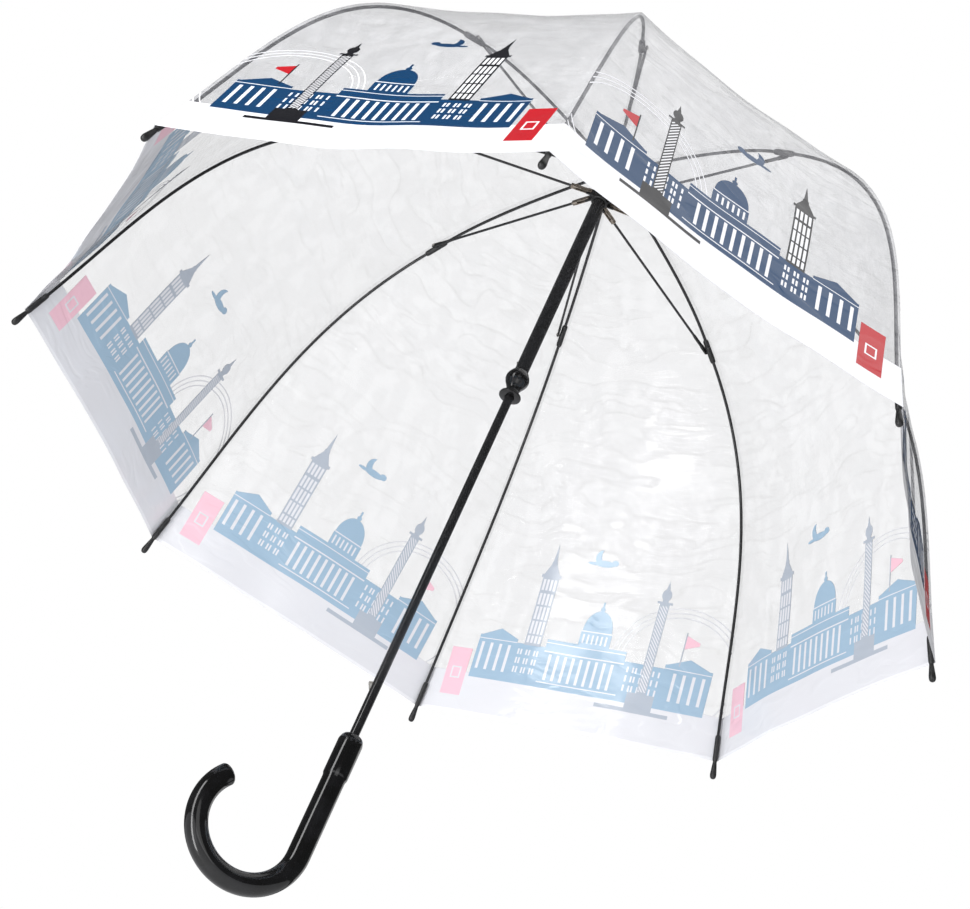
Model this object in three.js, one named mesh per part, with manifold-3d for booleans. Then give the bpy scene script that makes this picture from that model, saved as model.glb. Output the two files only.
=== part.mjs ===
// A clear dome umbrella, open: crook handle, steel shaft, long sliding runner, eight sprung ribs
// with their stretchers, and an eight-panel film canopy. Millimetres, +Z up along the shaft.
// The origin is on the shaft's axis, at the middle of the hand grip.
import * as THREE from "three";
import { mergeVertices } from "three/addons/utils/BufferGeometryUtils.js";
import Module from "manifold-3d";

const wasm = await Module();
wasm.setup();

// ---- driving dimensions ------------------------------------------------------------------
const RIB_COUNT = 8;
const RIB_STEP = (2 * Math.PI) / RIB_COUNT;
const FIRST_RIB = -RIB_STEP / 2; // the crook's plane lies midway between two ribs
const GAP = 0.3; // between pieces that touch or run in each other

const SHAFT_R = 4;
const SHAFT_BORE_R = 3.2;
const SHAFT_BOTTOM = -18;
const SHAFT_TOP = 760;

const GRIP_TOP = 52;
const GRIP_COLLAR_BOTTOM = 14;
const GRIP_COLLAR_R = 10.3;
const GRIP_R = 9.4;
const CROOK_R = 44; // centre line
const CROOK_START = -58;
const CROOK_SWEEP = THREE.MathUtils.degToRad(218);

const HINGE_R = 12; // from the shaft's axis to the pivots in the crown and in the runner
const CROWN_Z = 718;
const RUNNER_Z = 681; // the runner's pivots, with the canopy open
const RUNNER_TRAVEL = 357;
const KNOB_BOTTOM = 419.5;
const KNOB_TOP = 449.5;
const TUBE_R = 6.3;
const TUBE_BORE_R = 4.6;
const CATCH_ANGLE = THREE.MathUtils.degToRad(-30);
const TOP_CATCH_Z = 458;
const BOTTOM_CATCH_Z = TOP_CATCH_Z - RUNNER_TRAVEL;

const ROD_R = 1.5;
const STRETCHER_R = 1.25;
const BRACKET = new THREE.Vector2(212, 674); // (radius, height) of the rib's centre line
const BRACKET_LENGTH = 25; // the rod is straight inside the sleeve
const BRACKET_SLOPE = THREE.MathUtils.degToRad(26);
const STRETCHER_SIDE = 4.3; // each stretcher runs beside its rib, so that they pass when folding
const SLEEVE_START = new THREE.Vector2(415, 342.5); // where the tip's sleeve begins
const TIP_LEAN = THREE.MathUtils.degToRad(16.9); // of the tip from the vertical
const FLEX_AT = 0.25; // where along the outer curve the rod is taken to bend
const FLEX_GAP = 0.8;

const FILM_OFFSET = 3.6; // from a rod's centre line to the film
const FILM_THICKNESS = 0.5;
const FILM_SEAM_GAP = 0.2; // from each gore's edge to the rib's plane
const FILM_HOLE_R = 9;
const FILM_CROWN_Z = 722;

// ---- materials ---------------------------------------------------------------------------
const finish = (color, roughness, metalness) =>
  new THREE.MeshStandardMaterial({ color, roughness, metalness });
const blackEnamel = () => finish(0x0c0c0e, 0.25, 0.2);
const blackPlastic = () => finish(0x101012, 0.35, 0);
const glossPlastic = () => finish(0x060607, 0.08, 0);
const springSteel = () => finish(0xa8a49a, 0.3, 1);
const clearFilm = () =>
  new THREE.MeshStandardMaterial({
    color: 0xe9eaee,
    roughness: 0.15,
    metalness: 0,
    transparent: true,
    opacity: 0.3,
  });

// ---- shape helpers -----------------------------------------------------------------------
/** The same surface with shared vertices merged, and its faces pointing out. */
function closed(geometry) {
  const bare = geometry.index ? geometry : geometry.clone();
  bare.deleteAttribute("normal");
  bare.deleteAttribute("uv");
  const merged = mergeVertices(bare, 1e-4);
  const at = merged.attributes.position;
  const index = merged.index.array;
  const [a, b, c] = [new THREE.Vector3(), new THREE.Vector3(), new THREE.Vector3()];
  let volume = 0;
  for (let i = 0; i < index.length; i += 3) {
    a.fromBufferAttribute(at, index[i]);
    b.fromBufferAttribute(at, index[i + 1]);
    c.fromBufferAttribute(at, index[i + 2]);
    volume += a.dot(b.cross(c));
  }
  if (volume < 0) {
    for (let i = 0; i < index.length; i += 3) {
      [index[i], index[i + 1]] = [index[i + 1], index[i]];
    }
  }
  return merged;
}

function solid(geometry) {
  const shape = closed(geometry);
  return new wasm.Manifold(
    new wasm.Mesh({
      numProp: 3,
      vertProperties: new Float32Array(shape.attributes.position.array),
      triVerts: new Uint32Array(shape.index.array),
    }),
  );
}

function surface(manifold) {
  const mesh = manifold.getMesh();
  const geometry = new THREE.BufferGeometry();
  const positions = new Float32Array(mesh.numVert * 3);
  for (let i = 0; i < mesh.numVert; i++) {
    positions.set(mesh.vertProperties.subarray(i * mesh.numProp, i * mesh.numProp + 3), i * 3);
  }
  geometry.setAttribute("position", new THREE.BufferAttribute(positions, 3));
  geometry.setIndex([...mesh.triVerts]);
  return geometry;
}

const join = (first, ...rest) => rest.reduce((whole, piece) => whole.add(piece), first);
const cut = (first, ...rest) => rest.reduce((whole, piece) => whole.subtract(piece), first);

/** A shape turned about Z from its outline of [radius, height] points. */
function turned(outline, sides = 16) {
  const points = outline.map(([r, z]) => new THREE.Vector2(r, z));
  return new THREE.LatheGeometry(points, sides).rotateX(Math.PI / 2);
}

/** A hollow turned shape, whose outline closes on itself away from the axis. */
const ring = (outline, sides) => turned([...outline, outline[0]], sides);

function cylinder(radius, from, to, sides = 12) {
  const length = to - from;
  return new THREE.CylinderGeometry(radius, radius, length, sides)
    .rotateX(Math.PI / 2)
    .translate(0, 0, from + length / 2);
}

/** A pin along Y, centred on the given place. */
const crossPin = (radius, length, x, z, sides = 8) =>
  new THREE.CylinderGeometry(radius, radius, length, sides).translate(x, 0, z);

const block = (low, high) =>
  new THREE.BoxGeometry(...high.map((v, i) => v - low[i])).translate(
    ...high.map((v, i) => (v + low[i]) / 2),
  );

/** A round bar along a curve. */
function bar(curve, radius, steps, sides = 6) {
  const section = new THREE.Shape();
  for (let i = 0; i < sides; i++) {
    const angle = (2 * Math.PI * i) / sides;
    const corner = [radius * Math.cos(angle), radius * Math.sin(angle)];
    if (i) section.lineTo(...corner);
    else section.moveTo(...corner);
  }
  return new THREE.ExtrudeGeometry(section, { steps, extrudePath: curve });
}

const group = new THREE.Group();
function add(name, geometry, material, parent = group) {
  const mesh = new THREE.Mesh(closed(geometry), material);
  mesh.name = name;
  parent.add(mesh);
  return mesh;
}

/** One rib's own group: its +X points outward along the rib's plane. */
function ribPlane(i) {
  const plane = new THREE.Group();
  plane.rotation.z = FIRST_RIB - i * RIB_STEP;
  group.add(plane);
  return plane;
}

// ---- the rib's centre line, in the rib's plane as (radius, height) --------------------------
const onPlane = (v) => new THREE.Vector3(v.x, 0, v.y);
const runnerPivot = new THREE.Vector2(HINGE_R, RUNNER_Z);
const downhill = (slope) => new THREE.Vector2(Math.cos(slope), -Math.sin(slope));
const crownDirection = downhill(THREE.MathUtils.degToRad(5));
const bracketDirection = downhill(BRACKET_SLOPE);
const tipDirection = new THREE.Vector2(Math.sin(TIP_LEAN), -Math.cos(TIP_LEAN));

/** A smooth curve that leaves one point and reaches another along the given directions. */
function sweep(start, startDirection, startPull, end, endDirection, endPull) {
  return new THREE.CubicBezierCurve3(
    onPlane(start),
    onPlane(start.clone().addScaledVector(startDirection, startPull)),
    onPlane(end.clone().addScaledVector(endDirection, -endPull)),
    onPlane(end),
  );
}

// The rod begins far enough out to stay below the notch when the rib is folded.
const rodStart = new THREE.Vector2(HINGE_R, CROWN_Z).addScaledVector(crownDirection, 6.5);
const bracketStart = BRACKET.clone().addScaledVector(bracketDirection, -BRACKET_LENGTH / 2);
const bracketEnd = BRACKET.clone().addScaledVector(bracketDirection, BRACKET_LENGTH / 2);
const innerCurve = sweep(rodStart, crownDirection, 70, bracketStart, bracketDirection, 50);
const outerCurve = sweep(bracketEnd, bracketDirection, 155, SLEEVE_START, tipDirection, 130);

/** The part of a curve between two parameters, moved in by a length at either end. */
function stretch(curve, from, to, count, trimStart = 0, trimEnd = 0) {
  const points = [];
  for (let i = 0; i <= count; i++) {
    points.push(curve.getPoint(from + ((to - from) * i) / count));
  }
  points[0].addScaledVector(curve.getTangent(from), trimStart);
  points[count].addScaledVector(curve.getTangent(to), -trimEnd);
  return points;
}

// ---- handle ------------------------------------------------------------------------------
function handle() {
  const path = new THREE.CurvePath();
  path.add(
    new THREE.LineCurve3(
      new THREE.Vector3(0, 0, GRIP_COLLAR_BOTTOM + 10),
      new THREE.Vector3(0, 0, CROOK_START),
    ),
  );
  const arcPoints = [];
  const arcSteps = 22;
  for (let i = 0; i <= arcSteps; i++) {
    const angle = Math.PI + (CROOK_SWEEP * i) / arcSteps;
    arcPoints.push(
      new THREE.Vector3(
        CROOK_R * (1 + Math.cos(angle)),
        0,
        CROOK_START + CROOK_R * Math.sin(angle),
      ),
    );
  }
  path.add(new THREE.CatmullRomCurve3(arcPoints));
  const grip = solid(bar(path, GRIP_R, 30, 14));
  const collar = solid(
    turned([
      [0, GRIP_COLLAR_BOTTOM - 14],
      [GRIP_R - 0.6, GRIP_COLLAR_BOTTOM - 14],
      [GRIP_COLLAR_R, GRIP_COLLAR_BOTTOM],
      [GRIP_COLLAR_R, GRIP_TOP - 5],
      [GRIP_COLLAR_R - 1.2, GRIP_TOP - 1.8],
      [SHAFT_R + 2, GRIP_TOP],
      [0, GRIP_TOP],
    ], 14),
  );
  const socket = solid(cylinder(SHAFT_R + GAP, SHAFT_BOTTOM - 1, GRIP_TOP + 5));
  add("handle", surface(cut(join(grip, collar), socket)), glossPlastic());
}

// ---- shaft and its two spring catches ------------------------------------------------------
const CATCH_SLOT = { width: 3, below: 7, above: 5 };

/** A slot through one wall, or both, on the side where the catches stand out. */
function catchSlot(z, reach, from = 1) {
  return solid(
    block(
      [from, -CATCH_SLOT.width / 2, z - CATCH_SLOT.below],
      [reach, CATCH_SLOT.width / 2, z + CATCH_SLOT.above],
    ).rotateZ(CATCH_ANGLE),
  );
}

const STOP_PIN_Z = 692;
const STOP_PIN_R = 1;

function shaft() {
  const tube = solid(
    ring([
      [SHAFT_BORE_R, SHAFT_BOTTOM],
      [SHAFT_R, SHAFT_BOTTOM],
      [SHAFT_R, SHAFT_TOP],
      [SHAFT_BORE_R, SHAFT_TOP],
    ]),
  );
  const pinHole = solid(crossPin(STOP_PIN_R + GAP, 12, 0, STOP_PIN_Z));
  add(
    "shaft",
    surface(cut(tube, catchSlot(TOP_CATCH_Z, 6), catchSlot(BOTTOM_CATCH_Z, 6), pinHole)),
    blackEnamel(),
  );
  add("stop_pin", crossPin(STOP_PIN_R, 13, 0, STOP_PIN_Z), springSteel());
}

/** A leaf inside the shaft with a nose through the slot: steep above, sloping below. */
function springCatch(name, z) {
  const outline = new THREE.Shape();
  outline.moveTo(1.9, z - 24);
  outline.lineTo(2.6, z - 24);
  outline.lineTo(2.6, z - 5);
  outline.lineTo(4.4, z - 4.4);
  outline.lineTo(7, z + 1);
  outline.lineTo(7, z + 2.6);
  outline.lineTo(4.2, z + 3.4);
  outline.lineTo(2.6, z + 4);
  outline.lineTo(2.6, z + 16);
  outline.lineTo(1.9, z + 16);
  const leafWidth = 2;
  const leaf = new THREE.ExtrudeGeometry(outline, { depth: leafWidth, bevelEnabled: false })
    .translate(0, 0, -leafWidth / 2)
    .rotateX(Math.PI / 2)
    .rotateZ(CATCH_ANGLE);
  add(name, leaf, springSteel());
}

// ---- runner ------------------------------------------------------------------------------
const PIVOT_TONGUE = 0.8; // half thickness of a tongue that a fork straddles
const RUNNER_HUB_TOP = RUNNER_Z + 5;
const RUNNER_HUB_BOTTOM = RUNNER_Z - 6;

function runner() {
  const tube = solid(
    ring([
      [TUBE_BORE_R, KNOB_TOP - 3],
      [TUBE_R, KNOB_TOP - 3],
      [TUBE_R, RUNNER_HUB_BOTTOM - GAP],
      [TUBE_BORE_R, RUNNER_HUB_BOTTOM - GAP],
    ]),
  );
  add("runner_tube", surface(cut(tube, catchSlot(TOP_CATCH_Z, 9))), blackEnamel());

  const seat = KNOB_TOP - 3 - GAP; // the tube's end sits on this step
  add(
    "runner_knob",
    ring([
      [TUBE_BORE_R, KNOB_BOTTOM],
      [8.4, KNOB_BOTTOM],
      [9.2, KNOB_BOTTOM + 1],
      [9.0, KNOB_BOTTOM + 2.4],
      [7.2, KNOB_BOTTOM + 4.2],
      [6.0, KNOB_BOTTOM + 7.5],
      [6.5, KNOB_BOTTOM + 11],
      [9.0, KNOB_BOTTOM + 16],
      [10.5, KNOB_BOTTOM + 20],
      [10.6, KNOB_BOTTOM + 22],
      [9.6, KNOB_BOTTOM + 26],
      [8.2, KNOB_TOP],
      [TUBE_R + GAP, KNOB_TOP],
      [TUBE_R + GAP, seat],
      [TUBE_BORE_R, seat],
    ]),
    glossPlastic(),
  );

  let hub = solid(
    ring([
      [TUBE_BORE_R, RUNNER_HUB_BOTTOM],
      [7.6, RUNNER_HUB_BOTTOM],
      [8.4, RUNNER_HUB_BOTTOM + 1],
      [8.4, RUNNER_HUB_TOP - 1],
      [7.6, RUNNER_HUB_TOP],
      [TUBE_BORE_R, RUNNER_HUB_TOP],
    ]),
  );
  for (let i = 0; i < RIB_COUNT; i++) {
    const tongue = block(
      [6, STRETCHER_SIDE - PIVOT_TONGUE, RUNNER_Z - 3.6],
      [HINGE_R + 2.6, STRETCHER_SIDE + PIVOT_TONGUE, RUNNER_Z + 3.6],
    ).rotateZ(FIRST_RIB - i * RIB_STEP);
    hub = hub.add(solid(tongue));
  }
  add("runner_notch", surface(hub), blackPlastic());
}

// ---- crown -------------------------------------------------------------------------------
const NOTCH_BOTTOM = CROWN_Z - 4.5;
const NOTCH_TOP = CROWN_Z + 3.5;
const NOTCH_R = 15.5;
const EYE_SLOT = 1.2; // half width

function crown() {
  let notch = solid(
    ring([
      [SHAFT_R + GAP, NOTCH_BOTTOM],
      [NOTCH_R - 1, NOTCH_BOTTOM],
      [NOTCH_R, NOTCH_BOTTOM + 1],
      [NOTCH_R, NOTCH_TOP - 1],
      [NOTCH_R - 1, NOTCH_TOP],
      [SHAFT_R + GAP, NOTCH_TOP],
    ]),
  );
  for (let i = 0; i < RIB_COUNT; i++) {
    const turn = FIRST_RIB - i * RIB_STEP;
    const slot = block(
      [8.6, -EYE_SLOT, NOTCH_BOTTOM - 2],
      [NOTCH_R + 2, EYE_SLOT, NOTCH_TOP + 2],
    ).rotateZ(turn);
    const axle = crossPin(0.9, 2 * EYE_SLOT + 1, HINGE_R, CROWN_Z, 6).rotateZ(turn);
    notch = notch.subtract(solid(slot)).add(solid(axle));
  }
  add("crown_notch", surface(notch), blackPlastic());

  add(
    "crown_cap",
    ring([
      [SHAFT_R + GAP, 723.4],
      [11.5, 723.4],
      [12, 724.2],
      [10.5, 726.2],
      [SHAFT_R + GAP, 726.6],
    ]),
    blackPlastic(),
  );
  add(
    "ferrule",
    turned([
      [0, SHAFT_TOP + GAP],
      [SHAFT_R + GAP, SHAFT_TOP + GAP],
      [SHAFT_R + GAP, 727],
      [8.6, 727],
      [9.2, 728.2],
      [8.8, 731],
      [6.6, 737],
      [6, 744],
      [5.6, 768],
      [4.6, 770],
      [0, 770],
    ]),
    glossPlastic(),
  );
}

// ---- ribs, brackets, stretchers and tips -----------------------------------------------------
function ribInner(i, plane) {
  const inner = stretch(innerCurve, 0, 1, 6);
  const outer = stretch(outerCurve, 0, FLEX_AT, 4, 0, FLEX_GAP);
  const rod = bar(new THREE.CatmullRomCurve3([...inner, ...outer]), ROD_R, 14);
  const eye = crossPin(2.8, 2 * PIVOT_TONGUE, HINGE_R, CROWN_Z, 10);
  const neck = block(
    [HINGE_R, -PIVOT_TONGUE, CROWN_Z - 2.2],
    [HINGE_R + 9, PIVOT_TONGUE, CROWN_Z + 1.4],
  );
  const hole = crossPin(0.9 + GAP, 6, HINGE_R, CROWN_Z, 6);
  const rib = cut(join(solid(rod), solid(eye), solid(neck)), solid(hole));
  add(`rib_inner_${i + 1}`, surface(rib), blackEnamel(), plane);
}

const TIP_BORE = 24;

function ribOuter(i, plane) {
  const points = stretch(outerCurve, FLEX_AT, 1, 9, FLEX_GAP, 0);
  points.push(onPlane(SLEEVE_START.clone().addScaledVector(tipDirection, TIP_BORE - 1)));
  const rod = bar(new THREE.CatmullRomCurve3(points), ROD_R, 13);
  add(`rib_outer_${i + 1}`, rod, blackEnamel(), plane);
}

/** A pin along Y from one height to another, centred on the given place in the rib's plane. */
const sidePin = (radius, from, to, x, z, sides) =>
  crossPin(radius, to - from, x, z, sides).translate(0, (from + to) / 2, 0);

/** The sleeve on the rod, with a boss and a rivet on its side that carry the stretcher. */
function bracket(i, plane) {
  const half = BRACKET_LENGTH / 2;
  const sleeve = solid(
    turned([
      [0, -half],
      [2.3, -half],
      [2.8, 2 - half],
      [2.8, half - 2],
      [2.3, half],
      [0, half],
    ], 10),
  );
  const bore = solid(cylinder(ROD_R + 0.5, -BRACKET_LENGTH, BRACKET_LENGTH, 10));
  const along = cut(sleeve, bore)
    .rotate([0, 90 + THREE.MathUtils.radToDeg(BRACKET_SLOPE), 0])
    .translate([BRACKET.x, 0, BRACKET.y]);
  const boss = sidePin(1.8, 2.2, 2.9, BRACKET.x, BRACKET.y, 10);
  const rivet = sidePin(0.9, 2.2, STRETCHER_SIDE + 1.4, BRACKET.x, BRACKET.y, 8);
  add(`bracket_${i + 1}`, surface(join(along, solid(boss), solid(rivet))), blackPlastic(), plane);
}

/** Along +X from the runner's pivot to the bracket's, then laid in place beside the rib. */
function stretcher(i, plane) {
  const arm = BRACKET.clone().sub(runnerPivot);
  const length = arm.length();
  const cheek = PIVOT_TONGUE + GAP; // inner face of a fork's cheek
  const cheekThickness = 0.9;
  const rod = bar(
    new THREE.LineCurve3(new THREE.Vector3(17, 0, 0), new THREE.Vector3(length - 10, 0, 0)),
    STRETCHER_R,
    1,
  );
  const pieces = [solid(rod)];
  for (const side of [-1, 1]) {
    const near = side * cheek;
    const far = side * (cheek + cheekThickness);
    const [low, high] = [Math.min(near, far), Math.max(near, far)];
    pieces.push(solid(block([-2, low, -1.9], [19, high, 1.9])));
  }
  const cheekOut = cheek + cheekThickness;
  pieces.push(solid(block([14.5, -cheekOut, -1.9], [19, cheekOut, 1.9])));
  pieces.push(
    solid(
      turned([
        [0, length - 26],
        [1.7, length - 26],
        [2.1, length - 23.5],
        [2.1, length - 7],
        [0, length - 7],
      ], 8)
        .rotateY(Math.PI / 2)
        .scale(1, 0.62, 1),
    ),
  );
  const eye = solid(block([length - 9, -0.9, -2.1], [length + 2.2, 0.9, 2.1]));
  pieces.push(cut(eye, solid(crossPin(0.9 + GAP, 6, length, 0, 8))));
  const mesh = add(`stretcher_${i + 1}`, surface(join(...pieces)), blackEnamel(), plane);
  mesh.position.set(runnerPivot.x, STRETCHER_SIDE, runnerPivot.y);
  mesh.rotation.y = -arm.angle();
}

/** A sleeve on the rod's end, a neck where the canopy's corner is held, and a round nub. */
function tip(i, plane) {
  const shape = turned([
    [0, TIP_BORE],
    [ROD_R + GAP, TIP_BORE],
    [ROD_R + GAP, 0],
    [2.1, 0],
    [2.5, 2],
    [2.5, 25],
    [2.1, 26],
    [2.1, 27.6],
    [3.0, 38],
    [3.1, 40.5],
    [2.5, 42.6],
    [1.3, 43.6],
    [0, 43.8],
  ], 10);
  const mesh = add(`tip_${i + 1}`, shape, blackPlastic(), plane);
  mesh.position.set(SLEEVE_START.x, 0, SLEEVE_START.y);
  mesh.rotation.y = Math.PI - TIP_LEAN;
}

// ---- canopy ------------------------------------------------------------------------------
/** The film's profile in a rib's plane, from the crown to the hem: points and outward normals. */
function filmProfile() {
  const line = [...stretch(innerCurve, 0.12, 1, 6), ...stretch(outerCurve, 0, 1, 11)];
  line.push(onPlane(SLEEVE_START.clone().addScaledVector(tipDirection, 25)));
  const profile = [
    { at: new THREE.Vector2(FILM_HOLE_R, FILM_CROWN_Z), out: new THREE.Vector2(0, 1) },
    { at: new THREE.Vector2(NOTCH_R + 2.5, FILM_CROWN_Z), out: new THREE.Vector2(0, 1) },
  ];
  line.forEach((point, i) => {
    const before = line[Math.max(i - 1, 0)];
    const after = line[Math.min(i + 1, line.length - 1)];
    const out = new THREE.Vector2(before.z - after.z, after.x - before.x).normalize();
    profile.push({ at: new THREE.Vector2(point.x, point.z).addScaledVector(out, FILM_OFFSET), out });
  });
  return profile;
}

/** One panel between two ribs: straight across from rib to rib, curved from crown to hem. */
function gore(i) {
  const profile = filmProfile();
  const rows = profile.length - 1;
  const slab = new THREE.BoxGeometry(1, 1, 1, 1, 1, rows);
  const at = slab.attributes.position;
  const left = FIRST_RIB - i * RIB_STEP;
  const right = left - RIB_STEP;
  for (let v = 0; v < at.count; v++) {
    const { at: inner, out } = profile[Math.round((at.getZ(v) + 0.5) * rows)];
    const point = inner.clone().addScaledVector(out, at.getY(v) > 0 ? FILM_THICKNESS : 0);
    const onLeft = at.getX(v) < 0;
    const angle = onLeft ? left : right;
    const inward = (onLeft ? -1 : 1) * FILM_SEAM_GAP; // along the tangent, into the panel
    at.setXYZ(
      v,
      point.x * Math.cos(angle) - inward * Math.sin(angle),
      point.x * Math.sin(angle) + inward * Math.cos(angle),
      point.y,
    );
  }
  add(`gore_${i + 1}`, slab, clearFilm());
}

handle();
shaft();
springCatch("top_catch", TOP_CATCH_Z);
springCatch("bottom_catch", BOTTOM_CATCH_Z);
runner();
crown();
for (let i = 0; i < RIB_COUNT; i++) {
  const plane = ribPlane(i);
  ribInner(i, plane);
  ribOuter(i, plane);
  bracket(i, plane);
  stretcher(i, plane);
  tip(i, plane);
  gore(i);
}

export default group;
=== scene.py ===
"""A clear dome umbrella, open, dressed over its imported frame: crook handle, steel shaft, long
runner, eight sprung ribs with their stretchers and tips, and a film canopy with a printed
border. Metres, +Z up the shaft, origin at the middle of the hand grip."""

import math

import bmesh
import bpy
from mathutils import Matrix, Vector


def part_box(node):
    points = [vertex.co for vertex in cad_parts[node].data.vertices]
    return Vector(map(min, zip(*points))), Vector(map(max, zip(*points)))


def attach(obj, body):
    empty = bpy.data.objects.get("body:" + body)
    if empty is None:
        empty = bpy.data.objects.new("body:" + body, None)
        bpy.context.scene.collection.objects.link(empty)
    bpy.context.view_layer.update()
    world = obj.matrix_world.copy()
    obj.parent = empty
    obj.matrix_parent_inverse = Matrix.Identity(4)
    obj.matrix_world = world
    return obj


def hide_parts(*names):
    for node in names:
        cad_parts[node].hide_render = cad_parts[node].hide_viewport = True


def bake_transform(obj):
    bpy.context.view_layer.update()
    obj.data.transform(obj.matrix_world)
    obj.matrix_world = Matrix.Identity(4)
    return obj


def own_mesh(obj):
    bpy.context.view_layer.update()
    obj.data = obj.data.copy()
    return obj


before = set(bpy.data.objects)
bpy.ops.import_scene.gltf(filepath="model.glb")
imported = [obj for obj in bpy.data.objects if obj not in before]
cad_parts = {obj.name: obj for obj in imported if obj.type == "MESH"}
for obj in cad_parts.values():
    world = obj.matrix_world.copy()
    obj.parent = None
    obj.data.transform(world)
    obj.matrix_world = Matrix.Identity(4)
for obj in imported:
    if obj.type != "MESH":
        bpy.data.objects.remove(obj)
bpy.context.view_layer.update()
MM = 0.001  # one millimetre

# ---- Camera, floor and light ---------------------------------------------------------------
# The camera stands low beside the open dome and looks up into it. A pale floor lies well below,
# and soft boxes stand round a white studio.


def placed(name, data):
    """An object in the scene that shows some data."""
    made = bpy.data.objects.new(name, data)
    bpy.context.scene.collection.objects.link(made)
    return made


camera_data = bpy.data.cameras.new("camera")
camera_data.lens = 76.8
camera_data.sensor_width = 36
camera_data.clip_end = 60
camera_right = Vector((-0.8064, 0.4805, 0.3447))
camera_up = Vector((0.5443, 0.3753, 0.7502))
camera_back = camera_right.cross(camera_up)
camera = placed("camera", camera_data)
camera.location = (0.4181, 1.4393, -0.6717)
camera.rotation_euler = Matrix((camera_right, camera_up, camera_back)).transposed().to_euler()
bpy.context.scene.camera = camera
bpy.context.scene.view_settings.view_transform = "Standard"


def soft_box(name, place, target, width, height, power):
    """A rectangular studio light at a place, turned to its target."""
    light = bpy.data.lights.new(name, "AREA")
    light.shape = "RECTANGLE"
    light.size = width
    light.size_y = height
    light.energy = power
    holder = placed(name, light)
    holder.location = place
    aim = Vector(target) - Vector(place)
    holder.rotation_euler = aim.to_track_quat("-Z", "Y").to_euler()


DOME_MIDDLE = (0, 0, 0.42)
soft_box("key_box", (1.75, 0.75, 0.55), DOME_MIDDLE, 0.5, 1.5, 15)
soft_box("side_box", (1.1, 0.5, -0.7), (0, 0, 0), 0.3, 1.2, 9)
soft_box("top_box", (-0.4, 0.3, 2.6), DOME_MIDDLE, 2.2, 2.2, 16)
soft_box("front_box", (0.7, 2.9, 0.2), DOME_MIDDLE, 1.6, 1.6, 9)
soft_box("fill_box", (1.7, 1.4, -0.7), (-0.25, 0.05, 0.45), 1.2, 1.2, 3)
soft_box("back_box", (-2.2, -1.4, 0.9), DOME_MIDDLE, 1.6, 1.6, 8)

world = bpy.data.worlds.new("studio")
world.use_nodes = True
air = world.node_tree
air.nodes.clear()
ray = air.nodes.new("ShaderNodeLightPath")
lit = None
for kind, colour, strength in (  # what lights the studio, what shows in gloss, what the camera sees
    (None, (0.96, 0.97, 1, 1), 0.96),
    ("Is Glossy Ray", (1, 1, 1, 1), 0.1),
    ("Is Camera Ray", (1, 1, 1, 1), 1.0),
):
    source = air.nodes.new("ShaderNodeBackground")
    source.inputs["Color"].default_value = colour
    source.inputs["Strength"].default_value = strength
    if kind is None:
        lit = source
        continue
    either = air.nodes.new("ShaderNodeMixShader")
    air.links.new(ray.outputs[kind], either.inputs[0])
    air.links.new(lit.outputs[0], either.inputs[1])
    air.links.new(source.outputs[0], either.inputs[2])
    lit = either
sky_output = air.nodes.new("ShaderNodeOutputWorld")
air.links.new(lit.outputs[0], sky_output.inputs["Surface"])
bpy.context.scene.world = world

FLOOR_Z, FLOOR_REACH = -1.05, 30
floor_mesh = bpy.data.meshes.new("studio_floor")
floor_corners = [(-1, -1), (1, -1), (1, 1), (-1, 1)]
floor_places = [(FLOOR_REACH * x, FLOOR_REACH * y, FLOOR_Z) for x, y in floor_corners]
floor_mesh.from_pydata(floor_places, [], [(0, 1, 2, 3)])
floor = placed("studio_floor", floor_mesh)

# ---- Shaft -----------------------------------------------------------------------------------
# A thin steel tube, drawn and enamelled gloss black, with a slot near each end of the runner's
# travel for a spring catch. The enamel pools a little and carries fine dust and hairlines.


class Value:
    """A number that varies over a surface. Arithmetic on it adds Math nodes to its finish."""

    def __init__(self, finish, socket):
        self.finish = finish
        self.socket = socket

    def math(self, operation, *others):
        return self.finish.node("Math", {"operation": operation}, dict(enumerate((self, *others))))

    def __rsub__(self, other):
        return self.finish.node("Math", {"operation": "SUBTRACT"}, {0: other, 1: self})

    def __abs__(self):
        return self.math("ABSOLUTE")


def arithmetic(operation):
    """A method that adds a Math node for one operation."""

    def method(self, other):
        return self.math(operation, other)

    return method


for sign, operation in {
    "add": "ADD", "radd": "ADD", "sub": "SUBTRACT", "mul": "MULTIPLY", "rmul": "MULTIPLY",
    "truediv": "DIVIDE", "pow": "POWER", "mod": "FLOORED_MODULO", "lt": "LESS_THAN",
    "gt": "GREATER_THAN", "or": "MAXIMUM",
}.items():
    setattr(Value, f"__{sign}__", arithmetic(operation))


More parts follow.
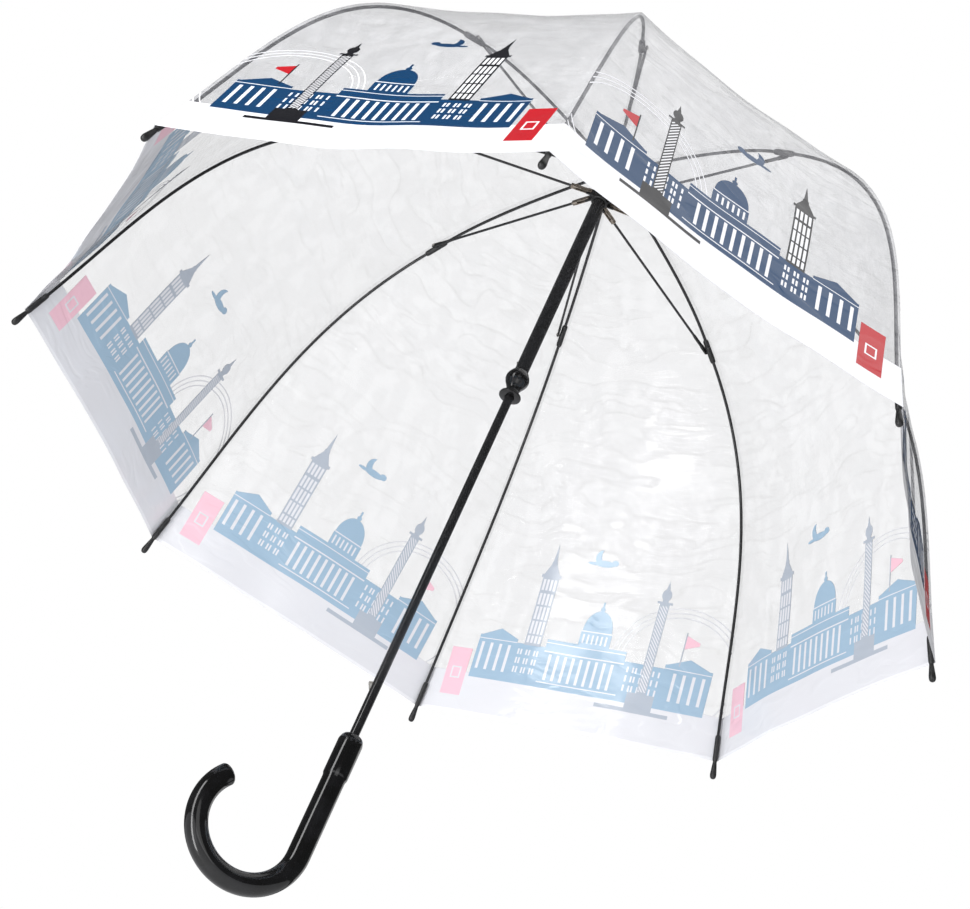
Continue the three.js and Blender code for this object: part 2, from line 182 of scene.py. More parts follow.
class Finish:
    """A material being made: node() adds a node, and surface() closes it."""

    def __init__(self, name):
        self.material = bpy.data.materials.new(name)
        self.material.use_nodes = True
        self.tree = self.material.node_tree
        self.tree.nodes.clear()

    def node(self, kind, settings=None, sockets=None, output=0):
        made = self.tree.nodes.new("ShaderNode" + kind)
        for key, value in (settings or {}).items():
            setattr(made, key, value)
        for key, value in (sockets or {}).items():
            if isinstance(value, Value):
                self.tree.links.new(value.socket, made.inputs[key])
            else:
                made.inputs[key].default_value = value
        return Value(self, made.outputs[output])

    def ramp(self, value, stops, interpolation="LINEAR"):
        """A number looked up from stops of (place, number), both from 0 to 1."""
        found = self.node("ValToRGB", {}, {0: value})
        colours = found.socket.node.color_ramp
        colours.interpolation = interpolation
        for n, (place, level) in enumerate(stops):
            stop = colours.elements[n] if n < 2 else colours.elements.new(place)
            stop.position = place
            stop.color = (level, level, level, 1)
        return found

    def noise(self, vector, scale, detail=3, roughness=0.5, output="Fac"):
        sockets = {"Vector": vector, "Scale": scale, "Detail": detail, "Roughness": roughness}
        return self.node("TexNoise", {"noise_dimensions": "3D"}, sockets, output)

    def mix(self, share, low, high):
        """A colour between two others."""
        return self.node("Mix", {"data_type": "RGBA"}, {0: share, 6: low, 7: high}, 2)

    def bump(self, height, distance, strength=1.0):
        return self.node("Bump", {}, {"Height": height, "Distance": distance, "Strength": strength})

    def place(self):
        return self.node("TexCoord", {}, {}, "Object")

    def stretched(self, vector, x, y, z):
        """A vector with each part multiplied by its own number."""
        return self.node("VectorMath", {"operation": "MULTIPLY"}, {0: vector, 1: (x, y, z)})

    def shifted(self, vector, by):
        """A vector moved along each axis by the same varying number."""
        return self.node("VectorMath", {"operation": "ADD"}, {0: vector, 1: by})

    def surface(self, **sockets):
        """The finished material, from what each named input of its shader gets."""
        named = {key.replace("_", " "): value for key, value in sockets.items()}
        shader = self.node("BsdfPrincipled", {}, named, "BSDF")
        end = self.tree.nodes.new("ShaderNodeOutputMaterial")
        self.tree.links.new(shader.socket, end.inputs["Surface"])
        return self.material


def shade(level, blue=0.0):
    """A near-grey colour."""
    return (level, level, level * (1 + blue), 1)


def black_enamel():
    """Gloss black enamel on drawn steel."""
    paint = Finish("black_enamel")
    at = paint.place()
    pooled = paint.noise(at, 90, 2)
    dust = paint.ramp(paint.noise(at, 2600, 1), [(0.66, 0), (0.78, 1)])
    along = paint.noise(paint.stretched(at, 900, 900, 12), 1, 2)
    colour = paint.mix(pooled, shade(0.006), shade(0.013, 0.1))
    colour = paint.mix(dust * 0.25, colour, shade(0.05))
    rough = 0.1 + pooled * 0.07 + along * 0.06 + dust * 0.2
    lumps = paint.bump(paint.noise(at, 320, 2) + along * 0.35, 0.00004, 0.5)
    return paint.surface(
        Base_Color=colour, Roughness=rough, Normal=lumps, Coat_Weight=0.15
    )


ENAMEL = black_enamel()
ROUND = 48  # faces round each of the larger turned pieces


def piece(name, mesh, material, body):
    """A finished mesh as a piece that rides on a body."""
    made = placed(name, mesh)
    if material is not None:
        mesh.materials.clear()
        mesh.materials.append(material)
    if body:
        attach(made, body)
    return made


def around(radius, turn, level=0.0):
    """A point at a radius, a turn about the shaft and a height."""
    return Vector((radius * math.cos(turn), radius * math.sin(turn), level))


def finished(name, shape, crease_degrees=38):
    """A bmesh as a smooth mesh that keeps its sharp edges, with its faces pointing out."""
    bmesh.ops.remove_doubles(shape, verts=shape.verts, dist=1e-7)
    bmesh.ops.recalc_face_normals(shape, faces=shape.faces)
    for face in shape.faces:
        face.smooth = True
    for edge in shape.edges:
        if len(edge.link_faces) == 2 and edge.calc_face_angle() > math.radians(crease_degrees):
            edge.smooth = False
    mesh = bpy.data.meshes.new(name)
    shape.to_mesh(mesh)
    shape.free()
    return mesh


def slotted_tube(name, inner, outer, bottom, top, windows, steps):
    """A tube with a window through one wall for each (low, high, columns) of windows."""
    levels = sorted({bottom, top, *(edge for window in windows for edge in window[:2])})
    rows = []
    for low, high in zip(levels, levels[1:]):
        count = max(1, math.ceil((high - low) / steps))
        rows += [low + (high - low) * n / count for n in range(count)]
    rows.append(top)

    def open_at(row, column):
        if not 0 <= row < len(rows) - 1:
            return True
        middle = (rows[row] + rows[row + 1]) / 2
        off = (column + 0.5 + ROUND / 2) % ROUND - ROUND / 2
        return any(low < middle < high and abs(off) < wide / 2 for low, high, wide in windows)

    shape = bmesh.new()
    walls = []
    for radius in (inner, outer):
        walls.append([
            [
                shape.verts.new(around(radius, CATCH_TURN + math.tau * n / ROUND, level))
                for n in range(ROUND)
            ]
            for level in rows
        ])
    for row in range(-1, len(rows)):
        for column in range(ROUND):
            here = open_at(row, column)
            after = (column + 1) % ROUND
            if not here:
                for wall in walls:
                    corners = (wall[row][column], wall[row][after])
                    corners += (wall[row + 1][after], wall[row + 1][column])
                    shape.faces.new(corners)
            if row + 1 < len(rows) and here != open_at(row + 1, column):
                low, high = (wall[row + 1] for wall in walls)
                shape.faces.new((low[column], low[after], high[after], high[column]))
            if 0 <= row < len(rows) - 1 and here != open_at(row, after):
                low, high = walls
                shape.faces.new(
                    (low[row][after], low[row + 1][after], high[row + 1][after], high[row][after])
                )
    loose = [vertex for vertex in shape.verts if not vertex.link_faces]
    bmesh.ops.delete(shape, geom=loose, context="VERTS")
    return finished(name, shape)


CATCH_TURN = math.radians(-30)
CATCH_BELOW, CATCH_ABOVE = 7 * MM, 5 * MM  # each slot's reach below and above its catch
TOP_CATCH_Z, BOTTOM_CATCH_Z = 458 * MM, 101 * MM
SHAFT_BORE, SHAFT_R = 3.2 * MM, 4 * MM
shaft_low, shaft_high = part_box("shaft")
slots = [(z - CATCH_BELOW, z + CATCH_ABOVE, 6) for z in (BOTTOM_CATCH_Z, TOP_CATCH_Z)]
shaft = piece(
    "shaft_tube",
    slotted_tube("shaft_tube", SHAFT_BORE, SHAFT_R, shaft_low.z, shaft_high.z, slots, 40 * MM),
    ENAMEL, "shaft",
)
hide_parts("shaft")

# ---- Spring catches and stop pin -----------------------------------------------------------------
# Each catch is a leaf of bare spring steel inside the shaft, whose nose stands out of a slot. A
# cross pin of the same steel stops the runner under the crown.


def spring_steel(name="spring_steel", base=(0.34, 0.32, 0.29, 1), worn=(0.55, 0.53, 0.5, 1)):
    """Bare rolled steel, brushed along its length and dulled by handling."""
    metal = Finish(name)
    at = metal.place()
    strokes = metal.noise(metal.stretched(at, 2600, 2600, 130), 1, 3)
    stain = metal.noise(at, 420, 3)
    colour = metal.mix(metal.ramp(stain, [(0.4, 0), (0.62, 1)]), base, worn)
    rough = 0.24 + strokes * 0.2 + stain * 0.1
    return metal.surface(
        Base_Color=colour,
        Metallic=1.0,
        Roughness=rough,
        Normal=metal.bump(strokes, 0.00002, 0.6),
    )


def refinish(material, *nodes):
    """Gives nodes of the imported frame, whose shape is right already, their real finish."""
    for node in nodes:
        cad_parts[node].data.materials.clear()
        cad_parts[node].data.materials.append(material)


STEEL = spring_steel()
refinish(STEEL, "stop_pin", "top_catch", "bottom_catch")

# ---- Handle --------------------------------------------------------------------------------------
# A crook moulded in gloss black plastic over the shaft's end: a collar with a chamfered shoulder,
# a slightly slimmer grip, and a round hook that tapers to a domed end.


def gloss_plastic():
    """Polished black moulding with a faint orange peel and finger marks."""
    moulding = Finish("gloss_plastic")
    at = moulding.place()
    marks = moulding.ramp(moulding.noise(at, 55, 4, 0.6), [(0.45, 0), (0.75, 1)])
    specks = moulding.ramp(moulding.noise(at, 1900, 1), [(0.7, 0), (0.8, 1)])
    colour = moulding.mix(marks, shade(0.003), shade(0.008, 0.15))
    colour = moulding.mix(specks * 0.3, colour, shade(0.04))
    rough = 0.09 + marks * 0.06 + specks * 0.12
    peel = moulding.bump(moulding.noise(at, 160, 2), 0.00012, 0.35)
    return moulding.surface(
        Base_Color=colour, Roughness=rough, Normal=peel, Coat_Weight=0.1
    )


GLOSS = gloss_plastic()


def heading(points, n):
    """The way a line of points runs at one of them."""
    return (points[min(n + 1, len(points) - 1)] - points[max(n - 1, 0)]).normalized()


def swept(name, path, radii, sides, side_way=Vector((0, 1, 0))):
    """A round bar of changing radius along a path that lies in one plane, closed at its ends."""
    shape = bmesh.new()
    rings = []
    for n, (point, radius) in enumerate(zip(path, radii)):
        up = heading(path, n).cross(side_way)
        rings.append([
            shape.verts.new(point + radius * (math.cos(turn) * side_way + math.sin(turn) * up))
            for turn in (math.tau * k / sides for k in range(sides))
        ])
    for low, high in zip(rings, rings[1:]):
        for k in range(sides):
            after = (k + 1) % sides
            shape.faces.new((low[k], low[after], high[after], high[k]))
    for ring in (rings[0], rings[-1]):
        shape.faces.new(ring)
    return finished(name, shape, 50)


CROOK_R, CROOK_TOP_Z = 44 * MM, -58 * MM
CROOK_SWEEP = math.radians(218)
GRIP_R = 9.4 * MM
END_TAPER = 0.05  # the share of its radius that the hook loses towards its end
grip_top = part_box("handle")[1].z
SHOULDER = [  # (below the top, radius) down the collar to the grip
    (0, 4.35), (0, 6), (0.5, 8.1), (1.8, 9.1), (5, 10.15), (5.8, 10.3), (20, 10.3), (36.5, 10.3),
    (37.2, 10.2), (38.4, 9.75), (39.4, 9.5), (41, 9.42),
]
crook_path = [Vector((0, 0, grip_top - down * MM)) for down, _ in SHOULDER]
crook_radii = [radius * MM for _, radius in SHOULDER]
STRAIGHT_STEPS, HOOK_STEPS, DOME_STEPS = 8, 60, 8
straight_top = crook_path[-1].z
for n in range(1, STRAIGHT_STEPS + 1):
    level = straight_top + (CROOK_TOP_Z - straight_top) * n / STRAIGHT_STEPS
    crook_path.append(Vector((0, 0, level)))
    crook_radii.append(GRIP_R)
for n in range(1, HOOK_STEPS + 1):
    turn = math.pi + CROOK_SWEEP * n / HOOK_STEPS
    crook_path.append(
        Vector((CROOK_R * (1 + math.cos(turn)), 0, CROOK_TOP_Z + CROOK_R * math.sin(turn)))
    )
    crook_radii.append(GRIP_R * (1 - END_TAPER * n / HOOK_STEPS))
hook_end, hook_along = crook_path[-1], (crook_path[-1] - crook_path[-2]).normalized()
end_radius = crook_radii[-1]
DOME_HEIGHT = 3.4 * MM
for n in range(1, DOME_STEPS + 1):
    lean = math.pi / 2 * n / DOME_STEPS
    crook_path.append(hook_end + hook_along * DOME_HEIGHT * math.sin(lean))
    crook_radii.append(max(end_radius * math.cos(lean) ** 0.6, 0.2 * MM))
handle = piece(
    "crook_handle", swept("crook_handle", crook_path, crook_radii, ROUND), GLOSS, "shaft",
)
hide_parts("handle")

# ---- Runner --------------------------------------------------------------------------------------
# A long enamelled tube slides on the shaft. Its lower end carries a turned knob, a flange, a
# waist and a bead, and its upper end a moulded notch whose tongues take the stretchers' forks.


def turned(name, outline, sides=ROUND, hollow=False):
    """A shape turned about Z from (radius, height) points in millimetres."""
    shape = bmesh.new()
    rings = []
    for radius, level in outline:
        count = sides if radius else 1
        rings.append([
            shape.verts.new(around(radius * MM, math.tau * k / sides, level * MM))
            for k in range(count)
        ])
    pairs = list(zip(rings, rings[1:])) + ([(rings[-1], rings[0])] if hollow else [])
    for low, high in pairs:
        for k in range(sides):
            after = (k + 1) % sides
            corners = [low[k % len(low)], low[after % len(low)]]
            corners += [high[after % len(high)], high[k % len(high)]]
            shape.faces.new(list(dict.fromkeys(corners)))
    return finished(name, shape)


def rounded(outline, share=0.3, hollow=False):
    """An outline with each corner between two longer sides replaced by a short curve."""
    count = len(outline)
    out = []
    for n, point in enumerate(outline):
        if not hollow and n in (0, count - 1):
            out.append(point)
            continue
        here, before, after = (Vector(outline[m % count]) for m in (n, n - 1, n + 1))
        start = here.lerp(before, share)
        end = here.lerp(after, share)
        for t in (0, 0.33, 0.67, 1):
            out.append(tuple(start.lerp(here, t).lerp(here.lerp(end, t), t)))
    return out


runner_low, runner_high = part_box("runner_tube")
RUNNER_BORE, RUNNER_R = 4.6 * MM, 6.3 * MM
runner_tube = piece(
    "runner_sleeve",
    slotted_tube(
        "runner_sleeve", RUNNER_BORE, RUNNER_R, runner_low.z, runner_high.z,
        [(TOP_CATCH_Z - CATCH_BELOW, TOP_CATCH_Z + CATCH_ABOVE, 4)], 40 * MM,
    ),
    ENAMEL, "runner",
)
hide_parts("runner_tube")

knob_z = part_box("runner_knob")[0].z / MM
KNOB = [
    (4.6, 0), (8.9, 0), (10.1, 0.8), (10.3, 1.8), (9.9, 2.9), (7.9, 4.2), (6.7, 5.6), (6.15, 7.6),
    (6.15, 9.4), (6.7, 11.2), (7.8, 13.4), (9.0, 15.7), (10.1, 17.8), (10.8, 19.9), (10.95, 21.8),
    (10.7, 23.8), (9.95, 25.8), (8.9, 27.8), (8.2, 29.2), (7.6, 30), (6.6, 30), (6.6, 26.7),
    (4.6, 26.7),
]
knob = piece(
    "runner_bead", turned("runner_bead", [(r, knob_z + z) for r, z in KNOB], 64, hollow=True),
    GLOSS, "runner",
)
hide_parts("runner_knob")


def satin_plastic():
    """Black nylon with a fine moulded grain, paler along its rubbed edges."""
    nylon = Finish("satin_plastic")
    at = nylon.place()
    grain = nylon.noise(at, 3200, 2)
    cloud = nylon.noise(at, 240, 3)
    rubbed = nylon.ramp(cloud, [(0.5, 0), (0.72, 1)])
    colour = nylon.mix(rubbed, shade(0.009), shade(0.024, 0.05))
    rough = 0.3 + grain * 0.16 + rubbed * 0.08
    return nylon.surface(
        Base_Color=colour, Roughness=rough, Normal=nylon.bump(grain + cloud, 0.00003, 0.7)
    )


NYLON = satin_plastic()
refinish(NYLON, "runner_notch", "crown_notch")

# ---- Crown cap and ferrule ------------------------------------------------------------------------
# The film is clamped on the crown by a moulded cap, and a gloss ferrule is pressed over the
# shaft's end above it.
CAP = [
    (4.3, 723.4), (11.5, 723.4), (12, 723.9), (11.9, 724.5), (10.8, 726), (10.2, 726.5),
    (4.3, 726.6),
]
cap = piece(
    "film_cap", turned("film_cap", rounded(CAP, 0.25, True), ROUND, True), NYLON, "shaft",
)
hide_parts("crown_cap")
FERRULE = [
    (0, 760.3), (4.3, 760.3), (4.3, 727), (8.6, 727), (9.2, 728.2), (8.9, 731), (7.4, 734.4),
    (6.6, 737.5), (6.05, 744), (5.6, 767.6), (5.3, 769.2), (4.6, 770), (0, 770),
]
ferrule = piece(
    "ferrule_end", turned("ferrule_end", rounded(FERRULE, 0.2)), GLOSS, "shaft"
)
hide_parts("ferrule")

# ---- Ribs ----------------------------------------------------------------------------------------
# Each rib is one sprung steel rod, enamelled black, from a flattened eye in the crown's notch to
# the tip's sleeve. It is pushed into its curve by the stretcher's bracket and the taut film.
RIB_COUNT = 8
RIB_STEP = math.tau / RIB_COUNT
FIRST_RIB = -RIB_STEP / 2
HINGE_R, CROWN_Z, RUNNER_Z = 12 * MM, 718 * MM, 681 * MM
ROD_R = 1.5 * MM
BRACKET_AT, BRACKET_LENGTH = Vector((212 * MM, 674 * MM)), 25 * MM
SLEEVE_AT = Vector((415 * MM, 342.5 * MM))
ROD_FROM_HINGE = 6.5 * MM  # from the hinge to where the round rod begins
INNER_STEPS, OUTER_STEPS = 36, 60
FLEX_STEP = 15  # the step of the outer line at which the model's flex hinge stands


def downhill(slope_degrees):
    slope = math.radians(slope_degrees)
    return Vector((math.cos(slope), -math.sin(slope)))


crown_way, bracket_way, tip_way = downhill(5), downhill(26), downhill(73.1)


def sweep(start, start_way, start_pull, end, end_way, end_pull, steps):
    """Points on a smooth curve in the rib's plane, which leaves and arrives along given ways."""
    knots = (start, start + start_way * start_pull, end - end_way * end_pull, end)
    points = []
    for n in range(steps + 1):
        t = n / steps
        weights = ((1 - t) ** 3, 3 * t * (1 - t) ** 2, 3 * t * t * (1 - t), t**3)
        points.append(sum((w * k for w, k in zip(weights, knots)), Vector((0, 0))))
    return points


rod_start = Vector((HINGE_R, CROWN_Z)) + crown_way * ROD_FROM_HINGE
bracket_start = BRACKET_AT - bracket_way * BRACKET_LENGTH / 2
bracket_end = BRACKET_AT + bracket_way * BRACKET_LENGTH / 2
inner_line = sweep(rod_start, crown_way, 70 * MM, bracket_start, bracket_way, 50 * MM, INNER_STEPS)
outer_line = sweep(bracket_end, bracket_way, 155 * MM, SLEEVE_AT, tip_way, 130 * MM, OUTER_STEPS)
flex_point = outer_line[FLEX_STEP]
flex_way = heading(outer_line, FLEX_STEP)


def in_plane(rib, point, side=0.0):
    """A (radius, height) point of a rib's plane, or beside it, in the umbrella's frame."""
    turn = FIRST_RIB - (rib - 1) * RIB_STEP
    return Vector((
        point[0] * math.cos(turn) - side * math.sin(turn),
        point[0] * math.sin(turn) + side * math.cos(turn),
        point[1],
    ))


def node_tree(name, output, inputs, kinds, wires):
    """A geometry node tree, with its inputs' identifiers. Wires run from a node's output to a
    node's input, and "in" and "out" are the tree's own ends."""
    tree = bpy.data.node_groups.new(name, "GeometryNodeTree")
    sockets = {}
    for title, kind in inputs.items():
        made = tree.interface.new_socket(title, in_out="INPUT", socket_type="NodeSocket" + kind)
        sockets[title] = made.identifier
    tree.interface.new_socket(output, in_out="OUTPUT", socket_type="NodeSocketGeometry")
    nodes = {"in": tree.nodes.new("NodeGroupInput"), "out": tree.nodes.new("NodeGroupOutput")}
    for title, kind in kinds.items():
        nodes[title] = tree.nodes.new("GeometryNode" + kind)
    for source, leaving, target, entering in wires:
        tree.links.new(nodes[source].outputs[leaving], nodes[target].inputs[entering])
    return tree, sockets, nodes


def baked(holder):
    """The mesh that an object shows, after which the object goes."""
    graph = bpy.context.evaluated_depsgraph_get()
    mesh = bpy.data.meshes.new_from_object(holder.evaluated_get(graph))
    bpy.data.objects.remove(holder)
    return mesh


def grown(name, tree, sockets, start_mesh, values):
    """The plain mesh that a geometry node tree makes from a mesh and its named inputs."""
    seed = placed(name + "_seed", start_mesh)
    modifier = seed.modifiers.new(name, "NODES")
    modifier.node_group = tree
    for title, value in values.items():
        modifier[sockets[title]] = value
    mesh = baked(seed)
    mesh.name = name
    return mesh


# A path of edges becomes a round rod with closed ends.
ROD_TREE, ROD_SOCKETS, rod_nodes = node_tree(
    "rod_along_path", "Rod",
    {"Path": "Geometry", "Radius": "Float", "Sides": "Int", "Finish": "Material"},
    {
        "line": "MeshToCurve", "circle": "CurvePrimitiveCircle", "rod": "CurveToMesh",
        "smooth": "SetShadeSmooth", "real": "RealizeInstances", "coat": "SetMaterial",
    },
    [
        ("in", "Path", "line", 0), ("in", "Radius", "circle", "Radius"),
        ("in", "Sides", "circle", "Resolution"), ("line", 0, "rod", "Curve"),
        ("circle", 0, "rod", "Profile Curve"), ("rod", 0, "smooth", 0), ("smooth", 0, "real", 0),
        ("real", 0, "coat", 0), ("in", "Finish", "coat", "Material"), ("coat", 0, "out", 0),
    ],
)
rod_nodes["rod"].inputs["Fill Caps"].default_value = True


def rod(name, path, radius, sides, material):
    """A round rod along a path."""
    line = bpy.data.meshes.new(name + "_path")
    line.from_pydata(path, [(n, n + 1) for n in range(len(path) - 1)], [])
    values = {"Radius": radius, "Sides": sides, "Finish": material}
    return grown(name, ROD_TREE, ROD_SOCKETS, line, values)


def stamped(name, outline, holes, half, bevel, place):
    """A flat plate in a rib's plane: outline and (x, y, radius) holes in millimetres."""
    drawing = bpy.data.curves.new(name, "CURVE")
    drawing.dimensions = "2D"
    drawing.fill_mode = "BOTH"
    drawing.extrude = (half - bevel) * MM
    drawing.bevel_depth = bevel * MM
    drawing.bevel_resolution = 1
    rings = [outline]
    for x, y, radius in holes:
        steps = [math.tau * n / 16 for n in range(16)]
        rings.append([(x + radius * math.cos(a), y + radius * math.sin(a)) for a in steps])
    for ring in rings:
        spline = drawing.splines.new("POLY")
        spline.points.add(len(ring) - 1)
        spline.use_cyclic_u = True
        for point, (x, y) in zip(spline.points, ring):
            point.co = (x * MM, y * MM, 0, 1)
    shape = bmesh.new()
    shape.from_mesh(baked(placed(name, drawing)))
    bmesh.ops.transform(shape, matrix=place, verts=shape.verts)
    return finished(name, shape, 30)


def lobe(x, y, radius, start_degrees, end_degrees, steps=8):
    """Points on an arc, for a plate's rounded end."""
    points = []
    for n in range(steps + 1):
        turn = math.radians(start_degrees + (end_degrees - start_degrees) * n / steps)
        points.append((x + radius * math.cos(turn), y + radius * math.sin(turn)))
    return points


def laid(rib, origin, way, side=0.0):
    """A matrix that lays X along a way in a rib's plane, Z across the plane, at an origin."""
    x_axis = in_plane(rib, way) - in_plane(rib, (0, 0))
    z_axis = in_plane(rib, (0, 0), 1.0)
    y_axis = z_axis.cross(x_axis)
    turn = Matrix((x_axis, y_axis, z_axis)).transposed().to_4x4()
    return Matrix.Translation(in_plane(rib, origin, side)) @ turn


def joined(name, *meshes):
    """Several meshes as one."""
    shape = bmesh.new()
    for mesh in meshes:
        shape.from_mesh(mesh)
    mesh = bpy.data.meshes.new(name)
    shape.to_mesh(mesh)
    shape.free()
    return mesh


ROD_SIDES = 14
TIP_ROD = 23 * MM  # how far the rod goes into the tip's sleeve
FLEX_REACH = 40 * MM  # a length either side of the model's hinge
rib_line = inner_line + outer_line + [SLEEVE_AT + tip_way * TIP_ROD]
EYE = lobe(0, 0, 2.8, 52, 308, 14) + [(9.2, -1.2), (9.6, -0.6), (9.6, 0.9), (9.2, 1.4)]
for rib in range(1, RIB_COUNT + 1):
    path = [in_plane(rib, point) for point in rib_line]
    sprung = piece(
        f"rib_rod_{rib}", rod(f"rib_rod_{rib}", path, ROD_R, ROD_SIDES, ENAMEL), ENAMEL, None,
    )
    in_plane(rib, flex_point - flex_way * FLEX_REACH)
    in_plane(rib, flex_point + flex_way * FLEX_REACH)
    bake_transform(sprung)
    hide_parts(f"rib_inner_{rib}", f"rib_outer_{rib}")
    eye_place = laid(rib, (HINGE_R, CROWN_Z), crown_way)
    piece(
        f"rib_eye_{rib}", stamped(f"rib_eye_{rib}", EYE, [(0, 0, 1.2)], 0.8, 0.2, eye_place),
        ENAMEL, f"rib_{rib}",
    )

# ---- Brackets and stretchers ----------------------------------------------------------------------
# A nylon sleeve on each rib carries a steel rivet. The stretcher, a thin enamelled rod beside the
# rib, has a flattened nylon sleeve with an eye on that rivet, and a folded steel fork at the runner.

# A round, flattened rivet head goes on each point, turned by the given angles.
RIVET_TREE, RIVET_SOCKETS, rivet_nodes = node_tree(
    "rivet_heads", "Heads",
    {"Points": "Geometry", "Radius": "Float", "Turn": "Vector", "Finish": "Material"},
    {
        "ball": "MeshUVSphere", "flatten": "Transform", "spread": "InstanceOnPoints",
        "real": "RealizeInstances", "smooth": "SetShadeSmooth", "coat": "SetMaterial",
    },
    [
        ("in", "Radius", "ball", "Radius"), ("ball", 0, "flatten", "Geometry"),
        ("in", "Points", "spread", "Points"), ("flatten", 0, "spread", "Instance"),
        ("in", "Turn", "spread", "Rotation"), ("spread", 0, "real", 0), ("real", 0, "smooth", 0),
        ("smooth", 0, "coat", 0), ("in", "Finish", "coat", "Material"), ("coat", 0, "out", 0),
    ],
)
rivet_nodes["ball"].inputs["Segments"].default_value = 16
rivet_nodes["ball"].inputs["Rings"].default_value = 8
rivet_nodes["flatten"].inputs["Scale"].default_value = (1, 1, 0.5)
STRETCHER_SIDE = 4.3 * MM
STRETCHER_R = 1.25 * MM
TONGUE_HALF, RUN_GAP, CHEEK = 0.8, 0.3, 0.9  # millimetres: tongue, clearance, fork's sheet
ROD_FROM_FORK, ROD_TO_EYE = 15.5, 12  # millimetres: from each pivot to the rod's nearer end
SLEEVE_BACK, SLEEVE_FLAT = 26, 0.62  # the sleeve's start behind its eye in mm, and its squeeze
PIN_TOP = 5.5  # millimetres from the rib's middle
FORK_STEEL = spring_steel("fork_steel", (0.2, 0.165, 0.13, 1), (0.42, 0.37, 0.32, 1))
runner_pivot = Vector((HINGE_R, RUNNER_Z))
arm = BRACKET_AT - runner_pivot
arm_way, arm_length = arm.normalized(), arm.length / MM
SLEEVE = [(0, 0), (1.3, 0.0), (1.62, 0.5), (1.8, 2.2), (2.1, 3.2), (2.1, 18.6), (1.9, 19), (0, 19)]
COLLAR = [
    (1.55, -12.5), (2.1, -12.5), (2.4, -12.1), (2.72, -10.9), (2.8, -10.2), (2.8, -5.4), (2.62, -5.1),
    (2.62, -4.5), (2.8, -4.2), (2.8, 10.2), (2.72, 10.9), (2.4, 12.1), (2.1, 12.5), (1.55, 12.5),
]
FORK_CHEEK = lobe(0, 0, 1.9, 90, 270) + [
    (14.2, -1.9), (15.2, -1.7), (19, -1.7), (19, 1.7), (15.2, 1.7), (14.2, 1.9),
]
EYE_PLATE = [(-9, -2.0)] + lobe(0, 0, 2.1, -90, 90) + [(-9, 2.0)]


def moved(mesh, matrix):
    """A mesh in its place."""
    mesh.transform(matrix)
    return mesh


LATHE_TO_X = Matrix.Rotation(math.pi / 2, 4, "Y")  # turns a lathed shape's axis from Z to X
for rib in range(1, RIB_COUNT + 1):
    at_bracket = laid(rib, BRACKET_AT, bracket_way)
    sleeve = moved(turned(f"bracket_sleeve_{rib}", COLLAR, 24, True), at_bracket @ LATHE_TO_X)
    boss = moved(
        turned("boss", [(0, 2.4), (1.8, 2.4), (1.8, 2.7), (1.6, 2.9), (0, 2.9)], 20), at_bracket
    )
    collar = piece(
        f"bracket_sleeve_{rib}", joined(f"bracket_sleeve_{rib}", sleeve, boss), NYLON, f"rib_{rib}",
    )
    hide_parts(f"bracket_{rib}")
    pin = moved(turned("pin", [(0, 2.4), (0.9, 2.4), (0.9, PIN_TOP), (0, PIN_TOP)], 14), at_bracket)
    head_line = bpy.data.meshes.new("heads")
    head_line.from_pydata([at_bracket @ Vector((0, 0, PIN_TOP * MM))], [], [])
    facing = at_bracket.to_euler()
    heads = grown(
        "heads", RIVET_TREE, RIVET_SOCKETS, head_line,
        {"Radius": 1.5 * MM, "Turn": tuple(facing), "Finish": STEEL},
    )
    piece(
        f"bracket_rivet_{rib}", joined(f"bracket_rivet_{rib}", pin, heads), STEEL, f"rib_{rib}",
    )
    at_runner = laid(rib, runner_pivot, arm_way, STRETCHER_SIDE)
    at_eye = laid(rib, BRACKET_AT, arm_way, STRETCHER_SIDE)
    body = f"stretcher_{rib}"
    ends = [at_runner @ Vector((x * MM, 0, 0)) for x in (ROD_FROM_FORK, arm_length - ROD_TO_EYE)]
    arm_rod = piece(
        f"stretcher_rod_{rib}",
        rod(f"stretcher_rod_{rib}", ends, STRETCHER_R, ROD_SIDES, ENAMEL), ENAMEL, body,
    )
    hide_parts(f"stretcher_{rib}")
    flat_sleeve = turned("flat_sleeve", SLEEVE, 24)
    flat_sleeve.transform(Matrix.Translation((0, 0, -SLEEVE_BACK * MM)))
    flat_sleeve.transform(Matrix.Diagonal((1, SLEEVE_FLAT, 1, 1)))
    flat_sleeve = moved(flat_sleeve, at_eye @ LATHE_TO_X @ Matrix.Rotation(math.pi / 2, 4, "Z"))
    eye_plate = stamped("eye_plate", EYE_PLATE, [(0, 0, 1.15)], 0.9, 0.2, at_eye)
    piece(
        f"stretcher_sleeve_{rib}", joined(f"stretcher_sleeve_{rib}", flat_sleeve, eye_plate), NYLON,
        body,
    )
    cheeks = []
    for side in (-1, 1):
        off = side * (TONGUE_HALF + RUN_GAP + CHEEK / 2) * MM
        place = at_runner @ Matrix.Translation((0, 0, off))
        cheeks.append(stamped("cheek", FORK_CHEEK, [(0, 0, 0.7)], CHEEK / 2, 0.12, place))
    barrel = turned(
        "barrel", [(0, 13.6), (1.6, 13.6), (1.95, 14.1), (1.95, 18.6), (1.7, 19.2), (0, 19.2)], 20
    )
    cheeks.append(moved(barrel, at_runner @ LATHE_TO_X))
    piece(
        f"stretcher_fork_{rib}", joined(f"stretcher_fork_{rib}", *cheeks), FORK_STEEL, body,
    )

